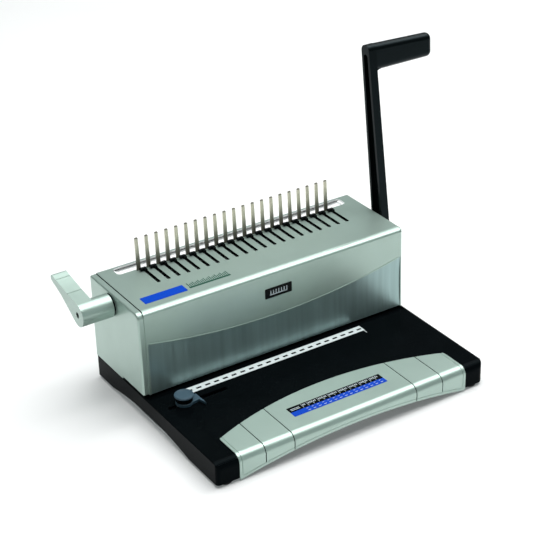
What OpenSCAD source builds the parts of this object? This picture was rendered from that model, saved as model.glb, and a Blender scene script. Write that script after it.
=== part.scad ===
// Comb binding machine: punches a row of slots along a sheet's edge, then opens a plastic comb.
// Origin: centre of the footprint on the table. +X runs to the punch handle, -Y faces the user.

/* [Comb] */
// Number of comb fingers, tines, hooks and punch pins
rings = 21; // [19:1:21]
// Distance from one comb finger to the next
pitch = 14.2875; // [14.2:0.0125:14.3]
// X of the middle of the comb row
comb_x = 1.65; // [0:0.05:3]
// Height of a tine above the top cover
tine_h = 44.4; // [38:0.2:48]
// Width of a tine where it leaves the cover
tine_w = 5.5; // [5:0.1:6]

/* [Base] */
// Width of the base and the housing
base_w = 396; // [392:1:400]
// Height of the deck above the table
deck_z = 33.3; // [33:0.1:34]
// Y of the base's front face
base_front = -148; // [-152:1:-144]
// Y of the base's and the housing's rear face
base_rear = 149; // [148:0.5:151]
// Gap between the base's lower edge and the table
foot_h = 4; // [3.5:0.5:5]
// Radius along the deck's front edge
deck_r = 10; // [6:1:12]

/* [Housing] */
// Height of the top of the housing
top_z = 150; // [149:0.5:151]
// Y of the housing's front face at its upper end
face_top_y = 25; // [24:0.5:27]
// Y of the housing's front face at its lower end
face_low_y = 23; // [21:0.5:24]
// Radius along the housing's front top edge
top_r = 9.5; // [8:0.5:12]
// Sheet thickness of the cover's top
skin = 2.5; // [2.5:0.1:2.6]
// Thickness of the left end cap
cap_w = 8; // [7:0.5:8]

/* [Punch] */
// Y of the punch line and of the punch shaft
punch_y = 82; // [81:0.5:83]
// Height of the punch shaft
shaft_z = 95; // [94:0.5:96]
// Height of the throat's floor
throat_z = 31; // [30.9:0.1:31.1]
// Clear height of the paper throat
throat_h = 4.5; // [4.4:0.1:4.6]
// Length of a punched slot
pin_w = 8; // [7:0.1:8]
// Width of a punched slot
pin_t = 3; // [2.5:0.1:3]
// Downward travel of the punch pins
stroke = 9; // [8.5:0.1:9]
// Pull of the punch handle, in degrees
handle_turn = 75; // [60:1:75]
// Backward lean of the handle's grip from the pivot
arm_lean = 35; // [33:0.5:36]
// Rise of the handle's grip above the pivot
arm_rise = 271.5; // [260:0.5:275]
// Length of the handle from its arm's inner face to the grip's end
grip_len = 104; // [90:0.5:106]
// Slope of the grip down towards its end, in degrees
grip_droop = 2.4; // [0:0.1:3]

/* [Opener] */
// Y of the opener shaft
opener_y = 97; // [96:0.5:98]
// Height of the opener shaft
opener_z = 131.7; // [131.5:0.1:132]
// Pitch radius of the opener pinions
pinion_r = 11; // [10.8:0.1:11.2]
// Travel of the hooks
hook_travel = 25; // [20:1:25]
// Radius of the crank's hub
hub_r = 15.5; // [14:0.5:15.5]
// Length of the crank's hub
hub_len = 44; // [40:1:48]

/* [Edge guide] */
// X of the clamp knob at rest
guide_x = -162.75; // [-164:0.25:-160]
// Y of the guide's slot in the deck
guide_y = -14; // [-15:0.5:-13]
// Radius of the clamp knob
knob_r = 12.2; // [11:0.1:13]

/* [Hidden] */

far = 1000;
eps = 0.02;
half_w = base_w / 2;
base_wall = 3;
deck_t = 2.8;
pan_t = 2.5;
pan_front = 15;
plate_t = 1.5;
boss_x = 176;
boss_ys = [-120, -40, 120];
boss_r = 5;
pilot_r = 1.6;
plan_r = 6;
guide_slot_x0 = -184.35;
guide_slot_x1 = -102.35;
guide_slot_half = 3;

frame_in = 184;
frame_t = 3;
frame_out = frame_in + frame_t;
frame_front = 40;
frame_rear = 143;
frame_top = 146;
rod_r = 4;
stud_r = 2.5;
nut_t = 3;
bearing_r = 9;
bush_r = 7;
plate_front = 30;
plate_rear = 104;
throat_top = throat_z + throat_h;
guide_plate_t = 4;
stop_y = 85;

shaft_r = 6;
arm_x = half_w + 3.5;
arm_t = 11.5;
cam_r0 = 14;
cam_gap = 2;
cam_k = stroke / (handle_turn * PI / 180);
bar_top = shaft_z - cam_r0 - cam_gap;
bar_h = 12;
pin_top = bar_top - bar_h;
rod_x = 163;

cover_x0 = -half_w + cap_w;
cover_x1 = half_w;
hook_dx = 5.78;
slot_half = 1.6;
slot_rear = 124;
slot_front = slot_rear - hook_travel - 16;
tine_y = 125.2;
tine_t = 1.8;
recess_x0 = -169;
recess_x1 = 179;
recess_y0 = 128;
recess_y1 = 146;
plate_z = 144.4;
plate_top = 147.1;
pinion_x = 174;
pinion_w = 8;
teeth = 13;
tooth_gap = 2 * PI * pinion_r / teeth;
opener_r = 4;
hub_gap = 2.4;
crank_x = -half_w - 1.2 - hub_len;
crank_bore_x = -half_w - hub_len + 12;

tray_y0 = 58;
tray_y1 = 106;
tray_z0 = 6.8;
tray_z1 = 27.5;
panel_half = 167.5;
panel_t = 1;
groove_xs = [-131, -90.5, 90.5, 131];
groove_half = 0.7;
groove_low_z = 12;
chart_y = -107;
chart_half = [69, 10];
film_t = 0.3;
pointer_t = 3.4;
// Outline of the guide's pointer, measured from the knob's centre
pointer = [[0, 6], [19.75, 6], [20.25, -18.5], [16.75, -7], [6.25, -9], [0, -6]];
feet_x = 182;
feet_front = -138;
feet_rear = 136;

arc_low_z = 87.5;
arc_r = 900;
rear_screw_xs = [-160, 0, 160];
rear_screw_zs = [45, 136];

// ---------- helpers ----------
module rod_along_x(r, x0, x1, y, z) {
    translate([x0, y, z]) rotate([0, 90, 0]) cylinder(r = r, h = x1 - x0, $fn = 48);
}

module ring_along_x(ro, ri, x0, x1, y, z) {
    difference() {
        rod_along_x(ro, x0, x1, y, z);
        rod_along_x(ri, x0 - 1, x1 + 1, y, z);
    }
}

module box(x0, x1, y0, y1, z0, z1) {
    translate([x0, y0, z0]) cube([x1 - x0, y1 - y0, z1 - z0]);
}

// A YZ outline stretched along X
module along_x(x0, x1) {
    translate([x0, 0, 0]) rotate([90, 0, 90]) linear_extrude(x1 - x0) children();
}

// A rectangle in plan with its two front corners rounded
module plan_block(x0, x1, y0, y1, z0, z1, r) {
    translate([0, 0, z0]) linear_extrude(z1 - z0) union() {
        translate([x0, y0 + r]) square([x1 - x0, y1 - y0 - r]);
        translate([x0 + r, y0]) square([x1 - x0 - 2 * r, r + eps]);
        for (x = [x0 + r, x1 - r]) translate([x, y0 + r]) circle(r, $fn = 48);
    }
}

function ring_x(i) = comb_x + (i - (rings - 1) / 2) * pitch;

// ---------- base ----------
module deck_outline(grow) {
    r = deck_r + grow;
    y0 = base_front - grow;
    z1 = deck_z + grow;
    union() {
        translate([y0, foot_h]) square([base_rear - y0, z1 - r - foot_h]);
        translate([y0 + r, foot_h]) square([base_rear - y0 - r, z1 - foot_h]);
        translate([y0 + r, z1 - r]) circle(r, $fn = 64);
    }
}

module front_arch() {
    rise = 14;
    r = 861;
    translate([0, 0, foot_h + rise - r]) rotate([90, 0, 0])
        cylinder(r = r, h = 40, $fn = 360);
}

module arches() {
    r = 510;
    rise = 9;
    translate([0, base_front + 20, 0]) front_arch();
    for (s = [-1, 1]) translate([s * half_w - 10, 13, foot_h + rise - r])
        rotate([0, 90, 0]) cylinder(r = r, h = 20, $fn = 360);
}

module base_block(inset) {
    z1 = deck_z - inset;
    intersection() {
        along_x(-half_w + inset, half_w - inset) deck_outline(-inset);
        plan_block(-half_w + inset, half_w - inset, base_front + inset,
            base_rear - inset, 0, z1 + 1, plan_r);
    }
}

module base_shell() {
    color("#1c2224") difference() {
        union() {
            difference() {
                base_block(0);
                translate([0, 0, -deck_t]) intersection() {
                    base_block(0);
                    box(-half_w + base_wall, half_w - base_wall, base_front + base_wall,
                        base_rear - base_wall, 0, 40);
                }
                box(-half_w + base_wall, half_w - base_wall, base_front + base_wall,
                    base_rear - base_wall, foot_h - 1, foot_h + 4);
            }
            box(-half_w + base_wall, half_w - base_wall, pan_front - 2.5, base_rear - base_wall,
                throat_z - pan_t, deck_z);
            for (x = [-1, 1], y = boss_ys) difference() {
                translate([x * boss_x, y, foot_h + plate_t])
                    cylinder(r = boss_r, h = throat_z - foot_h - plate_t, $fn = 32);
                translate([x * boss_x, y, 0]) cylinder(r = pilot_r, h = 22, $fn = 32);
            }
        }
        box(-half_w + 2, half_w - base_wall, pan_front, base_rear - base_wall, throat_z, 50);
        box(-frame_in, frame_in, plate_front, plate_rear, 0.1, 50);
        box(half_w - base_wall - 1, half_w + 1, tray_y0, tray_y1, -1, 29.5);
        box(guide_slot_x0, guide_slot_x1, guide_y - guide_slot_half, guide_y + guide_slot_half,
            20, 40);
        arches();
    }
}

module bottom_plate() {
    notch = 152;
    color("#5d6468") difference() {
        box(-half_w + 4, half_w - 4, base_front + 4, base_rear - 4, foot_h, foot_h + plate_t);
        box(-notch, notch, base_front, base_front + 20, 0, 20);
        for (x = [-1, 1], y = boss_ys)
            translate([x * boss_x, y, 0]) cylinder(r = 1.7, h = 20, $fn = 32);
    }
}

module rubber_feet() {
    color("#2b2b2b") for (x = [-feet_x, feet_x], y = [feet_front, feet_rear])
        translate([x, y, 0]) union() {
            cylinder(r = 8, h = 1, $fn = 48);
            translate([0, 0, 1]) cylinder(r = 9, h = foot_h - 1, $fn = 48);
        }
}

module bottom_screws() {
    color("#9aa0a4") for (x = [-1, 1], y = boss_ys)
        translate([x * boss_x, y, foot_h]) mirror([0, 0, 1]) union() {
            cylinder(r = 3.2, h = 1.8, $fn = 32);
            mirror([0, 0, 1]) cylinder(r = 1.5, h = 14, $fn = 32);
        }
}

// Formed panel that wraps over the deck's front edge
module front_panel() {
    rear_y = -70.5;
    rear_r = 433;
    color("#a7b9af") difference() {
        intersection() {
            difference() {
                along_x(-panel_half, panel_half) deck_outline(panel_t);
                along_x(-panel_half - 1, panel_half + 1) deck_outline(0);
                box(-far, far, base_rear - 1, base_rear + 2, 0, 60);
            }
            translate([0, rear_y - rear_r, 0]) cylinder(r = rear_r, h = 60, $fn = 360);
            box(-panel_half, panel_half, -200, 0, foot_h - 2, 60);
        }
        translate([0, base_front + 20, 0]) front_arch();
        for (x = groove_xs) {
            box(x - groove_half, x + groove_half, base_front + deck_r, -60, deck_z + 0.3, 60);
            box(x - groove_half, x + groove_half, base_front - 2, base_front - 0.3,
                groove_low_z, deck_z - deck_r);
        }
    }
}

module size_chart_label() {
    color("#1d3fae") box(-chart_half[0], chart_half[0], chart_y - chart_half[1],
        chart_y + chart_half[1], deck_z + panel_t, deck_z + panel_t + film_t);
}

module scale_strip() {
    strip_x0 = -149.3;
    strip_x1 = 119;
    color("#dfe8e8") box(strip_x0, strip_x1, 0.4, 13, deck_z, deck_z + film_t + 0.1);
}

module chip_tray() {
    wall = 2;
    left_x = -172;
    end_x = half_w - base_wall;
    front_z = 29.2;
    y0 = tray_y0 + 0.6;
    y1 = tray_y1 - 0.6;
    color("#202628") union() {
        difference() {
            box(left_x, end_x, y0, y1, tray_z0, tray_z1);
            box(left_x + wall, end_x - wall, y0 + wall, y1 - wall, tray_z0 + wall, 40);
        }
        difference() {
            box(end_x, half_w, tray_y0 + 0.4, tray_y1 - 0.4, tray_z0, front_z);
            arches();
            rod_along_x(9, half_w - 2, half_w + 2, (tray_y0 + tray_y1) / 2, front_z);
        }
    }
}

// ---------- edge guide ----------
module guide_slider() {
    foot = 9;
    neck = 7;
    neck_t = guide_slot_half - 0.3;
    color("#2c3336") difference() {
        union() {
            box(guide_x - foot, guide_x + foot, guide_y - foot, guide_y + foot,
                26, deck_z - deck_t - 0.3);
            box(guide_x - neck, guide_x + neck, guide_y - neck_t, guide_y + neck_t,
                26, deck_z + 0.5);
        }
        translate([guide_x, guide_y, 0]) cylinder(r = 2, h = 60, $fn = 32);
    }
}

// Foot under the knob with an arrow-shaped pointer
module guide_pointer() {
    z0 = deck_z + 0.5;
    color("#33424a") difference() {
        union() {
            translate([guide_x, guide_y, z0]) cylinder(r = 11, h = 4, $fn = 64);
            translate([guide_x, guide_y, z0]) linear_extrude(pointer_t) polygon(pointer);
        }
        translate([guide_x, guide_y, 0]) cylinder(r = 2, h = 60, $fn = 32);
    }
}

module guide_knob() {
    z0 = deck_z + 4.8;
    color("#4d687b") difference() {
        union() {
            translate([guide_x, guide_y, z0]) cylinder(r = knob_r - 1.4, h = 6.2, $fn = 64);
            translate([guide_x, guide_y, z0 + 6]) cylinder(r = knob_r, h = 3, $fn = 64);
        }
        translate([guide_x, guide_y, z0 - 1]) cylinder(r = 2.05, h = 7, $fn = 32);
    }
}

module guide_clamp_screw() {
    color("#a9aeb1") translate([guide_x, guide_y, 22.5]) union() {
        cylinder(r = 3.6, h = 3.5, $fn = 6);
        cylinder(r = 2, h = 21, $fn = 32);
    }
}

// ---------- punch ----------
module slot_row(w, t, z0, z1) {
    for (i = [0 : rings - 1])
        box(ring_x(i) - w / 2, ring_x(i) + w / 2, punch_y - t / 2, punch_y + t / 2, z0, z1);
}

module lower_die_plate() {
    color("#8b9093") difference() {
        box(-frame_in, frame_in, plate_front, plate_rear, throat_z - pan_t, throat_z);
        slot_row(pin_w + 0.2, pin_t + 0.2, 0, 60);
    }
}

module punch_guide_plate() {
    color("#9a9fa2") difference() {
        box(-frame_in, frame_in, plate_front, plate_rear, throat_top, throat_top + guide_plate_t);
        slot_row(pin_w + 0.2, pin_t + 0.2, 0, 60);
    }
}

module paper_back_stop() {
    color("#6f7578") box(-frame_in, frame_in, stop_y, stop_y + 5, throat_z, throat_top);
}

module frame_outline() {
    slope = [20, 26];
    difference() {
        polygon([[frame_front, throat_top], [stop_y, throat_top], [stop_y, throat_z],
            [frame_rear, throat_z], [frame_rear, frame_top], [frame_front + slope[0], frame_top],
            [frame_front, frame_top - slope[1]]]);
        for (c = [[55, 60], [128, 60]]) translate(c) circle(8, $fn = 48);
    }
}

module frame_plate(x0) {
    difference() {
        along_x(x0, x0 + frame_t) frame_outline();
        rod_along_x(bearing_r, x0 - 1, x0 + 5, punch_y, shaft_z);
        rod_along_x(bush_r, x0 - 1, x0 + 5, opener_y, opener_z);
        for (p = rod_places()) rod_along_x(stud_r, x0 - 1, x0 + 5, p[0], p[1]);
    }
}

function rod_places() = [[50, 100], [136, 60], [136, 110]];

module left_frame_plate() {
    color("#b7bcbe") frame_plate(-frame_out);
}

module right_frame_plate() {
    color("#b7bcbe") frame_plate(frame_in);
}

module tie_rods() {
    color("#c4c8ca") for (p = rod_places()) union() {
        rod_along_x(rod_r, -frame_in, frame_in, p[0], p[1]);
        rod_along_x(stud_r, -frame_out - nut_t - 0.4, frame_out + nut_t + 0.4, p[0], p[1]);
    }
}

module tie_rod_nuts() {
    color("#b0b5b8") for (p = rod_places(), x = [-frame_out - nut_t, frame_out]) difference() {
        translate([x, p[0], p[1]]) rotate([0, 90, 0]) cylinder(r = 4.6, h = nut_t, $fn = 6);
        rod_along_x(stud_r, x - 1, x + 4, p[0], p[1]);
    }
}

module punch_shaft() {
    color("#c2c6c8") rod_along_x(shaft_r, -frame_out - 2.5, arm_x + arm_t - 3,
        punch_y, shaft_z);
}

// Spiral cam: its radius grows evenly with the handle's angle, so the bar sinks evenly
function cam_point(a) =
    let (back = 270 - a, r = back < 0 ? cam_r0 - 2 : cam_r0 + cam_k * back * PI / 180)
    [r * cos(a), r * sin(a)];

module cam(x) {
    lead = handle_turn + 12;
    step = 3;
    translate([x, punch_y, shaft_z]) rotate([90, 0, 90]) difference() {
        linear_extrude(10) union() {
            polygon(concat([[0, 0]], [for (a = [270 - lead : step : 270]) cam_point(a)]));
            circle(11, $fn = 64);
        }
        translate([0, 0, -1]) cylinder(r = shaft_r, h = 12, $fn = 48);
    }
}

module punch_cams() {
    color("#8d9295") for (x = [-125, -5, 115]) cam(x);
}

module punch_shaft_bushes() {
    color("#b08d57") for (s = [-1, 1]) {
        inner = s < 0 ? -frame_out : frame_in;
        difference() {
            union() {
                rod_along_x(bearing_r, inner, inner + frame_t, punch_y, shaft_z);
                rod_along_x(11, s < 0 ? -frame_out - 1.5 : frame_out,
                    s < 0 ? -frame_out : frame_out + 1.5, punch_y, shaft_z);
            }
            rod_along_x(shaft_r + 0.05, -far, far, punch_y, shaft_z);
        }
    }
}

module bar_guide_rods() {
    color("#c9cdcf") for (x = [-rod_x, rod_x])
        translate([x, punch_y, throat_top + guide_plate_t]) cylinder(r = 4, h = 42, $fn = 48);
}

module punch_bar() {
    color("#7f8588") difference() {
        box(-176, 176, punch_y - 9, punch_y + 9, bar_top - bar_h, bar_top);
        for (x = [-rod_x, rod_x])
            translate([x, punch_y, 0]) cylinder(r = 4.05, h = 200, $fn = 48);
        for (i = [0 : 4 : rings - 1]) translate([ring_x(i) + pitch / 2, punch_y, 0])
            cylinder(r = 1.5, h = bar_top - 3, $fn = 24);
    }
}

module punch_pins() {
    color("#c7cbcd") for (i = [0 : rings - 1]) box(ring_x(i) - pin_w / 2, ring_x(i) + pin_w / 2,
        punch_y - pin_t / 2, punch_y + pin_t / 2, throat_top + 1.5, pin_top);
}

module pin_clamp_screws() {
    color("#a0a5a8") for (i = [0 : 4 : rings - 1])
        translate([ring_x(i) + pitch / 2, punch_y, 0]) union() {
            translate([0, 0, pin_top - 3]) cylinder(r = 2.8, h = 3, $fn = 32);
            translate([0, 0, pin_top - 1]) cylinder(r = 1.5, h = 8, $fn = 32);
        }
}

// Coil wound round an X axis, swept as one closed tube
module coil_along_x(r, wire, x0, turns, lead) {
    steps = 20;
    sides = 6;
    n = turns * steps;
    function at(i) = [x0 + lead * i / steps, r * cos(360 * i / steps), r * sin(360 * i / steps)];
    pts = [for (i = [0 : n], j = [0 : sides - 1])
        let (c = at(i), a = 360 * j / sides, t = 360 * i / steps)
        [c[0] + wire * sin(a), c[1] + wire * cos(a) * cos(t), c[2] + wire * cos(a) * sin(t)]];
    sidewalls = [for (i = [0 : n - 1], j = [0 : sides - 1])
        let (k = (j + 1) % sides)
        [i * sides + j, (i + 1) * sides + j, (i + 1) * sides + k, i * sides + k]];
    lid0 = [for (j = [0 : sides - 1]) j];
    lid1 = [for (j = [sides - 1 : -1 : 0]) n * sides + j];
    polyhedron(pts, concat([lid0], sidewalls, [lid1]), convexity = 10);
}

module return_spring() {
    color("#c8ccd0") translate([0, punch_y, shaft_z])
        coil_along_x(9.4, 0.9, 168.6, 6, 2.3);
}

module spring_collar() {
    color("#9da2a5") difference() {
        rod_along_x(11, 160, 167, punch_y, shaft_z);
        rod_along_x(shaft_r, 150, 180, punch_y, shaft_z);
    }
}

// ---------- handle ----------
module arm_outline(r0, r1, from, to) {
    hull() for (k = [[from, r0], [to, r1]])
        translate([punch_y + arm_lean * k[0], shaft_z + arm_rise * k[0]]) circle(k[1], $fn = 48);
}

module handle_arm() {
    grip_y = punch_y + arm_lean;
    grip_z = shaft_z + arm_rise;
    low_r = 12.5;
    grip_r = 8.2;
    down = 15.5;
    color("#15191b") difference() {
        union() {
            along_x(arm_x, arm_x + arm_t) arm_outline(low_r, grip_r, 0, 1);
            hull() for (d = [0, down], e = [[grip_r, 4.5], [grip_r - 2.7, 0]])
                translate([arm_x + 2, grip_y - d * 0.12, grip_z - d])
                    rotate([0, 90 + grip_droop, 0])
                    cylinder(r = e[0], h = grip_len - 2 - e[1], $fn = 32);
            hull() {
                translate([arm_x + arm_t - 1, grip_y - 8, grip_z - down - 22])
                    cube([1, 11, 20]);
                translate([arm_x + arm_t, grip_y - 8, grip_z - down - 10]) cube([9, 11, 6]);
            }
        }
        along_x(arm_x - 1, arm_x + 5) arm_outline(7.6, 4.6, 0.24, 0.975);
        along_x(arm_x + arm_t - 3, arm_x + arm_t + 1) arm_outline(7, 5, 0.24, 0.8);
        rod_along_x(shaft_r, arm_x - 1, arm_x + arm_t - 3, punch_y, shaft_z);
        rod_along_x(2.5, arm_x - 1, arm_x + arm_t + 1, punch_y, shaft_z);
    }
}

module handle_washer() {
    color("#b9bdbf") ring_along_x(9, 2.5, arm_x + arm_t, arm_x + arm_t + 1.2,
        punch_y, shaft_z);
}

module handle_screw() {
    x0 = arm_x + arm_t + 1.2;
    color("#33383a") difference() {
        union() {
            rod_along_x(5, x0, x0 + 4, punch_y, shaft_z);
            rod_along_x(2.5, arm_x + arm_t - 3, x0 + 0.5, punch_y, shaft_z);
        }
        translate([x0 + 1.8, punch_y, shaft_z]) rotate([0, 90, 0])
            cylinder(r = 2.6, h = 4, $fn = 6);
    }
}

// ---------- opener ----------
module opener_shaft() {
    color("#c2c6c8") rod_along_x(opener_r, crank_bore_x, frame_out + 3,
        opener_y, opener_z);
}

module gear_tooth() {
    polygon([[pinion_r - 2.8, -1.35], [pinion_r, -0.95], [pinion_r + 1.1, -0.5],
        [pinion_r + 1.1, 0.5], [pinion_r, 0.95], [pinion_r - 2.8, 1.35]]);
}

module pinion(x0) {
    translate([x0, opener_y, opener_z]) rotate([90, 0, 90]) difference() {
        linear_extrude(pinion_w) union() {
            circle(pinion_r - 1.6, $fn = 64);
            for (k = [0 : teeth - 1]) rotate(90 + 360 * k / teeth) gear_tooth();
        }
        translate([0, 0, -1]) cylinder(r = opener_r, h = pinion_w + 2, $fn = 48);
    }
}

module opener_pinions() {
    color("#d9d6c8") for (s = [-1, 1]) pinion(s * pinion_x - pinion_w / 2);
}

module opener_bushes() {
    color("#b08d57") for (s = [-1, 1]) {
        inner = s < 0 ? -frame_out : frame_in;
        ring_along_x(bush_r, opener_r + 0.05, inner, inner + frame_t, opener_y, opener_z);
    }
}

module hook_carriage() {
    color("#8f9497") difference() {
        box(-frame_in + 0.5, frame_in - 0.5, 101, slot_rear - 0.5, plate_z, plate_top);
        for (x = [-120, -40, 40, 120]) box(x - 25, x + 25, 105, 113, 140, 150);
    }
}

// Upright post with a short head that reaches over to the tine
module comb_hooks() {
    color("#15181a") for (i = [0 : rings - 1]) translate([ring_x(i) + hook_dx, 0, 0]) union() {
        box(-1.1, 1.1, slot_rear - 6.5, slot_rear - 2.2, plate_top, 154.2);
        box(-hook_dx - 0.6, 1.1, slot_rear - 5.2, slot_rear - 1.6, 151, 154.2);
    }
}

module rack(x0) {
    rear = 126;
    count = 7;
    difference() {
        box(x0, x0 + pinion_w, opener_y - 3.2, rear, plate_z - 2.8, plate_z);
        for (k = [0 : count - 1])
            translate([x0 - 1, opener_y + k * tooth_gap, plate_z - 2.8])
                rotate([90, 0, 90]) linear_extrude(pinion_w + 2)
                    polygon([[-tooth_gap / 2 + 0.55, -0.1], [tooth_gap / 2 - 0.55, -0.1],
                        [tooth_gap / 2 - 1.35, 2.7], [-tooth_gap / 2 + 1.35, 2.7]]);
    }
}

module opener_racks() {
    color("#d9d6c8") for (s = [-1, 1]) rack(s * pinion_x - pinion_w / 2);
}

module carriage_rails() {
    color("#aeb3b5") for (s = [-1, 1]) {
        x0 = s < 0 ? -frame_in : frame_in - 3.4;
        box(x0, x0 + 3.4, 62, 124, plate_z - 3.4, plate_z - 0.3);
    }
}

module crank_lever() {
    tip = [162.5, 153.4];
    tip_r = 4.6;
    waist = [139, 146.3];
    waist_r = 6.2;
    blade_w = 20;
    color("#a9bab0") difference() {
        union() {
            rod_along_x(hub_r, crank_x, -half_w - hub_gap, opener_y, opener_z);
            along_x(crank_x, crank_x + blade_w) {
                hull() {
                    translate(tip) circle(tip_r, $fn = 32);
                    translate(waist) circle(waist_r, $fn = 32);
                }
                hull() {
                    translate(waist) circle(waist_r, $fn = 32);
                    translate([opener_y, opener_z]) circle(hub_r, $fn = 64);
                }
            }
        }
        rod_along_x(opener_r, crank_bore_x, 0, opener_y, opener_z);
        rod_along_x(2.6, crank_x - 1, 0, opener_y, opener_z);
        rod_along_x(4, crank_x - 1, crank_x + 4, opener_y, opener_z);
    }
}

module crank_screw() {
    color("#2a2e30") difference() {
        union() {
            rod_along_x(3.9, crank_x + 1, crank_x + 4, opener_y, opener_z);
            rod_along_x(2.5, crank_x + 3, crank_bore_x, opener_y, opener_z);
        }
        translate([crank_x, opener_y, opener_z]) rotate([0, 90, 0])
            cylinder(r = 2, h = 2.6, $fn = 6);
    }
}

// ---------- comb row ----------
module tine(x) {
    lean = 2.6;
    foot = 14;
    translate([x, tine_y, top_z - foot]) rotate([-lean, 0, 0]) translate([0, tine_t / 2, 0])
        rotate([90, 0, 0]) linear_extrude(tine_t)
            polygon([[-tine_w / 2, 0], [tine_w / 2, 0], [tine_w / 2, foot],
                [1.9, foot + tine_h - 2], [1.1, foot + tine_h], [-1.1, foot + tine_h],
                [-1.9, foot + tine_h - 2], [-tine_w / 2, foot]]);
}

module comb_tines() {
    color("#c9c3ae") for (i = [0 : rings - 1]) tine(ring_x(i));
}

// Bar across the frame plates that holds the feet of the tines
module tine_bar() {
    color("#9ea3a5") box(-frame_in, frame_in, tine_y - 1.6, tine_y + 2, 118, 135.9);
}

module comb_channel() {
    wall = 1.4;
    color("#e9eeee") difference() {
        box(recess_x0 - wall, recess_x1 + wall, recess_y0 - 0.6, base_rear - base_wall,
            143.2, top_z - skin);
        box(recess_x0 + 3, recess_x1 - 3, recess_y0 + 0.2, recess_y1 - 0.4, 144.6, 160);
    }
}

// ---------- housing ----------
module housing_outline(inset, low_z) {
    r = top_r - inset;
    y_low = face_low_y + inset * 1.2;
    y_top = face_top_y + inset;
    z1 = top_z - inset;
    union() {
        polygon([[y_low, low_z], [base_rear, low_z], [base_rear, z1], [y_top + r, z1],
            [y_top, z1 - r]]);
        translate([y_top + r, z1 - r]) circle(r, $fn = 96);
    }
}

// Y of the slightly leaning front face at height z
face_lean = atan((face_top_y - face_low_y) / (top_z - top_r - deck_z));
function face_y(z) = face_low_y + (z - deck_z) * tan(face_lean);

// Hollow scooped out of the front face below a long arc
module front_arc_recess() {
    low = 38;
    high = 105.5;
    depth = 1.2;
    mid = (low + high) / 2;
    curve_r = pow((high - low) / 2, 2) / (2 * depth);
    intersection() {
        box(cover_x0 + 3, cover_x1 - 4, -20, 40, low - 20, high + 20);
        translate([0, face_y(mid) + depth - curve_r * cos(face_lean),
            mid + curve_r * sin(face_lean)]) rotate([0, 90, 0])
            cylinder(r = curve_r, h = base_w, center = true, $fn = 720);
        difference() {
            box(-half_w, half_w, -30, 50, 0, high + 25);
            translate([-3, -50, arc_low_z + arc_r]) rotate([-90, 0, 0])
                cylinder(r = arc_r, h = 120, $fn = 360);
        }
    }
}

module top_cover() {
    face_t = 3.2;
    color("#a9bbb0") difference() {
        intersection() {
            along_x(cover_x0, cover_x1) housing_outline(0, deck_z);
            plan_block(cover_x0 - 20, cover_x1, face_low_y, base_rear, 0, top_z + 1, 5);
        }
        along_x(cover_x0 - 1, cover_x1 - base_wall) difference() {
            housing_outline(face_t, 0);
            translate([0, top_z - skin]) square([200, 10]);
        }
        box(cover_x0 - 1, cover_x1 - base_wall, face_top_y + 14, 200, 0, top_z - skin);
        box(cover_x0 - 1, cover_x1 - base_wall, 0, 60, 0, throat_top);
        box(cover_x0 - 1, cover_x1 + 1, base_rear - base_wall + 0.5, 200, 0, top_z - skin);
        for (i = [0 : rings - 1]) {
            box(ring_x(i) + hook_dx - slot_half, ring_x(i) + hook_dx + slot_half,
                slot_front, slot_rear, 140, 160);
            box(ring_x(i) - tine_w / 2 - 0.35, ring_x(i) + tine_w / 2 + 0.35,
                tine_y - 1.2, tine_y + 1.9, 140, 160);
        }
        box(recess_x0, recess_x1, recess_y0, recess_y1, 140, 160);
        rod_along_x(8, cover_x1 - 5, cover_x1 + 1, punch_y, shaft_z);
        front_arc_recess();
    }
}

module left_end_cap() {
    lift = throat_top + 1;
    rim = 2.5;
    color("#a3b5aa") difference() {
        along_x(-half_w, cover_x0) housing_outline(0.8, deck_z);
        along_x(-half_w + 3, cover_x0 + 1) difference() {
            housing_outline(0.8 + rim, 0);
            translate([base_rear - rim, 0]) square([20, 200]);
        }
        box(-half_w - 1, cover_x0 + 1, 0, 79, 0, lift);
        rod_along_x(bush_r, -half_w - 1, cover_x0, opener_y, opener_z);
    }
}

// Flanged bush: its rim fills the gap between the end cap and the crank's hub
module end_cap_bush() {
    flange_r = 14.6;
    color("#16191b") difference() {
        union() {
            rod_along_x(bush_r, -half_w, cover_x0, opener_y, opener_z);
            rod_along_x(flange_r, -half_w - hub_gap + 0.3, -half_w, opener_y, opener_z);
        }
        rod_along_x(opener_r + 0.05, -far, far, opener_y, opener_z);
    }
}

module rear_cover() {
    color("#9fb0a6") difference() {
        box(cover_x0, half_w - base_wall, base_rear - base_wall + 0.5, base_rear, deck_z,
            top_z - skin);
        for (x = rear_screw_xs, z = rear_screw_zs)
            translate([x, base_rear + 1, z]) rotate([90, 0, 0])
                cylinder(r = pilot_r, h = 9, $fn = 24);
    }
}

module rear_screws() {
    color("#3a3f41") for (x = rear_screw_xs, z = rear_screw_zs)
        translate([x, base_rear, z]) rotate([90, 0, 0]) union() {
            cylinder(r = 1.5, h = 2.4, $fn = 24);
            mirror([0, 0, 1]) cylinder(r = 3, h = 1.6, $fn = 32);
        }
}

// ---------- labels ----------
module blue_label() {
    x0 = -176.5;
    x1 = -117;
    color("#0a46d8") box(x0, x1, 44, 60, top_z, top_z + film_t);
}

module tick_label() {
    x0 = -112.3;
    x1 = -53.5;
    color("#2f5a4c") box(x0, x1, 47, 50, top_z, top_z + film_t);
}

module front_badge() {
    z = 120.4;
    half = [20, 7];
    color("#0c0e0f") translate([comb_x, face_y(z), z]) rotate([-face_lean, 0, 0])
        box(-half[0], half[0], -0.5, 0, -half[1], half[1]);
}

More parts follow.
